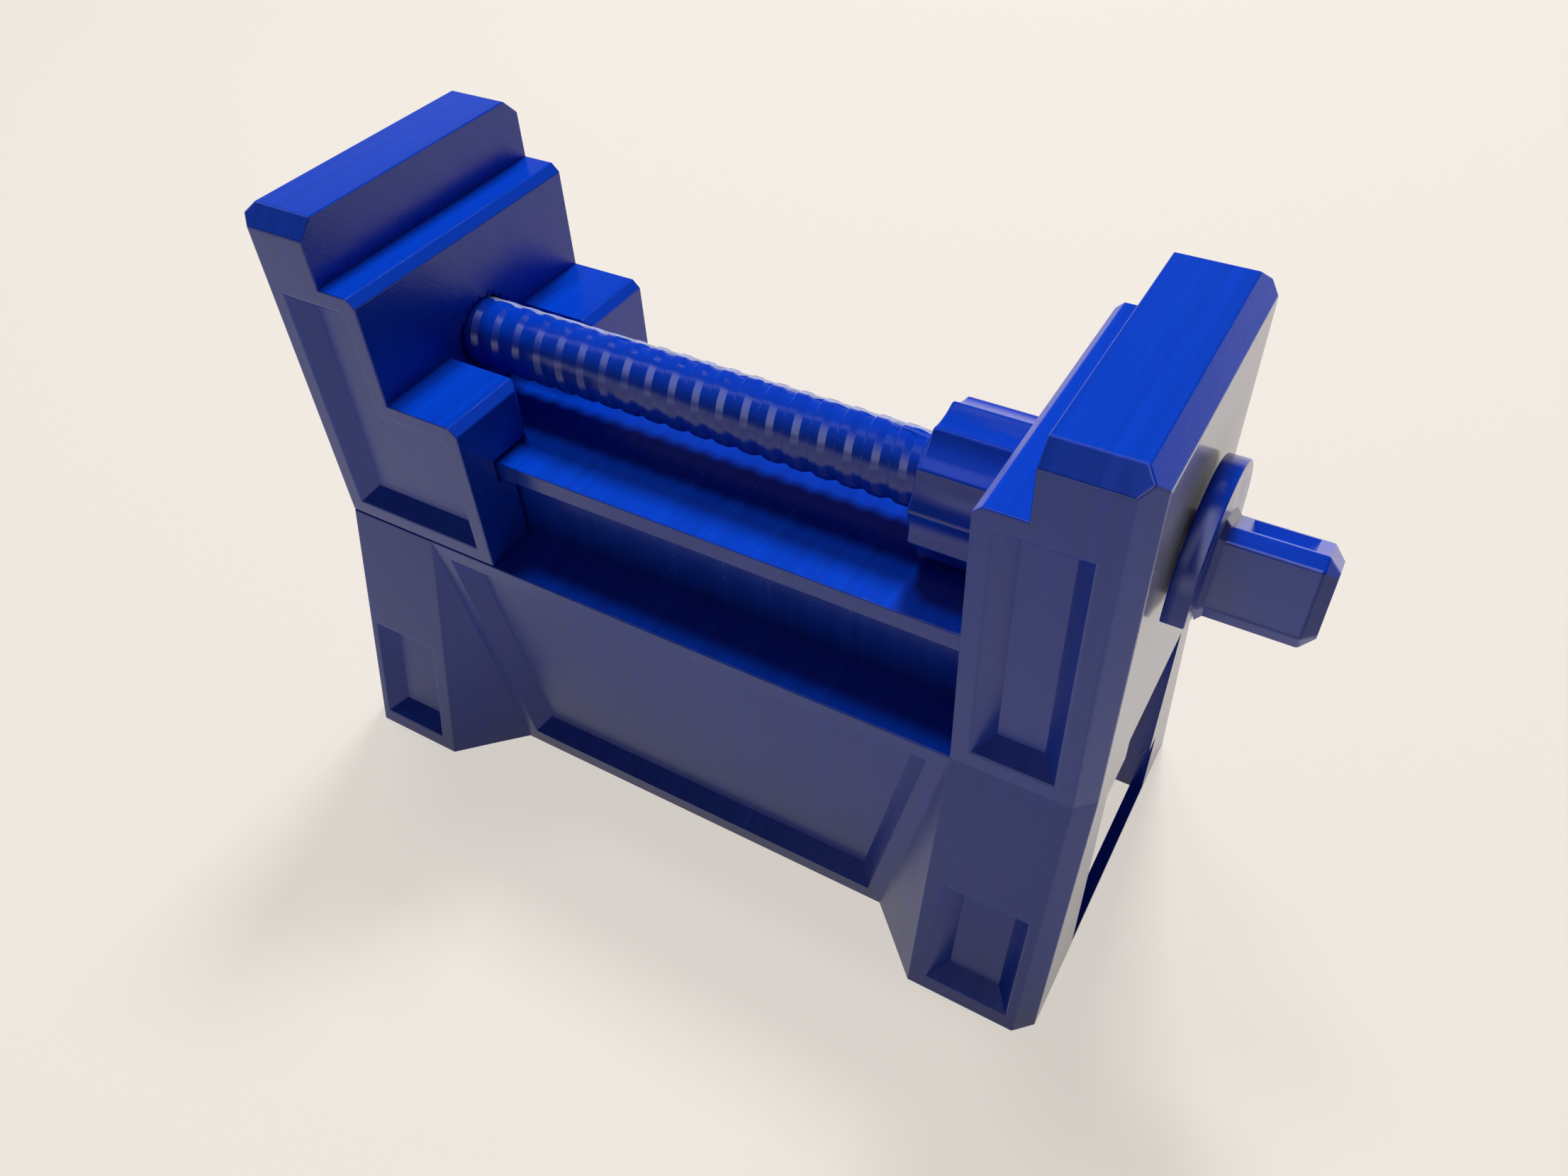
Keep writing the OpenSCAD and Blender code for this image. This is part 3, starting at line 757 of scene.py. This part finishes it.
def table_top():
    """A wide flat table that carries the vise: a square grid of cells. Camera and gloss see it in the pale
    colour TABLE, which glows in part. Other rays see TABLE_BOUNCE, which sets how much light it throws
    back."""
    n = np.linspace(-TABLE_HALF, TABLE_HALF, TABLE_CELLS + 1)
    gx, gy = np.meshgrid(n, n, indexing="ij")
    points = np.stack([gx, gy, np.full_like(gx, -TABLE_DROP)], -1)
    i, j = np.meshgrid(np.arange(TABLE_CELLS), np.arange(TABLE_CELLS), indexing="ij")
    k = i * len(n) + j
    faces = np.stack([k, k + len(n), k + len(n) + 1, k + 1], -1).reshape(-1, 4)
    made = mesh_object("table_top", points, faces)
    top, tree = material("pale_table")
    grain = cloud(tree, TABLE_GRAIN)
    path = node(tree, "LightPath").outputs
    seen = larger(tree, path["Is Camera Ray"], path["Is Glossy Ray"])
    seen = larger(tree, seen, path["Is Transmission Ray"])
    tint = node(tree, "Mix", {
        "Factor": seen, "A": (*TABLE_BOUNCE, 1),
        "B": shades(tree, grain, TABLE, TABLE_CHANGE)}, data_type="RGBA").outputs["Result"]
    shader = node(tree, "BsdfPrincipled", {"Base Color": tint, "Roughness": TABLE_ROUGH})
    glow = node(tree, "Emission", {"Color": (*TABLE, 1), "Strength": GLOW_STRENGTH})
    away = node(tree, "VectorMath", {0: placed(tree)}, operation="LENGTH").outputs["Value"]
    near, far = FADE
    share = node(tree, "MapRange", {
        "Value": away, "From Min": near, "From Max": far, "To Min": TABLE_GLOW, "To Max": 1.0}).outputs[0]
    both = node(tree, "MixShader", {
        0: product(tree, seen, share), 1: shader.outputs[0], 2: glow.outputs[0]})
    out = node(tree, "OutputMaterial")
    tree.links.new(both.outputs[0], out.inputs[0])
    made.data.materials.append(top)


def lamp(name, compass, rise, width, height, strength, in_gloss):
    """A soft lamp, aimed at the middle of the vise, that either lights surfaces or shows in their gloss."""
    data = bpy.data.lights.new(name, "AREA")
    data.shape = "RECTANGLE"
    data.size = width
    data.size_y = height
    data.energy = strength
    made = bpy.data.objects.new(name, data)
    bpy.context.scene.collection.objects.link(made)
    turn, up = math.radians(compass), math.radians(rise)
    way = Vector((math.cos(up) * math.cos(turn), math.cos(up) * math.sin(turn), math.sin(up)))
    made.location = Vector((0, 0, AIM_Z)) + way * LAMP_FAR
    made.rotation_mode = "QUATERNION"
    made.rotation_quaternion = (-way).to_track_quat("-Z", "Y")
    made.visible_camera = False
    made.visible_glossy = in_gloss
    made.visible_diffuse = not in_gloss


def room_light():
    """Even dim light from all round. The camera sees a pale backdrop instead, and the gloss sees its foot.
    The backdrop fades out of the gloss in a straight line between the two heights of BACKDROP_TOP."""
    world = bpy.data.worlds.new("room")
    world.use_nodes = True
    tree = world.node_tree
    path = node(tree, "LightPath").outputs
    rise = node(tree, "SeparateXYZ", {0: node(tree, "TexCoord").outputs["Generated"]}).outputs["Z"]
    start, end = BACKDROP_TOP
    foot = node(tree, "MapRange", {
        "Value": rise, "From Min": start, "From Max": end, "To Min": 1.0, "To Max": 0.0}).outputs[0]
    in_gloss = larger(tree, path["Is Glossy Ray"], path["Is Transmission Ray"])
    shown = larger(tree, product(tree, in_gloss, foot), path["Is Camera Ray"])
    tint = node(tree, "Mix", {
        "Factor": shown, "A": (*WORLD_LIGHT, 1), "B": (*BACKDROP, 1)}, data_type="RGBA").outputs["Result"]
    shade = tree.nodes["Background"]
    tree.links.new(tint, shade.inputs["Color"])
    shade.inputs["Strength"].default_value = 1.0
    bpy.context.scene.world = world


def camera():
    """The photograph's viewpoint: a place, a point it looks at, and a small roll."""
    data = bpy.data.cameras.new("camera")
    data.sensor_width = SENSOR
    data.lens = LENS
    data.clip_start, data.clip_end = CLIP
    made = bpy.data.objects.new("camera", data)
    bpy.context.scene.collection.objects.link(made)
    made.location = CAMERA_PLACE
    made.rotation_mode = "QUATERNION"
    level = (CAMERA_AIM - CAMERA_PLACE).to_track_quat("-Z", "Y")
    made.rotation_quaternion = level @ Quaternion((0, 0, 1), CAMERA_ROLL)
    bpy.context.scene.camera = made


table_top()
for name, values in LAMPS.items():
    lamp(name, *values, in_gloss=False)
for name, values in PANELS.items():
    lamp(name, *values, in_gloss=True)
room_light()
camera()
bpy.context.scene.view_settings.view_transform = "Standard"
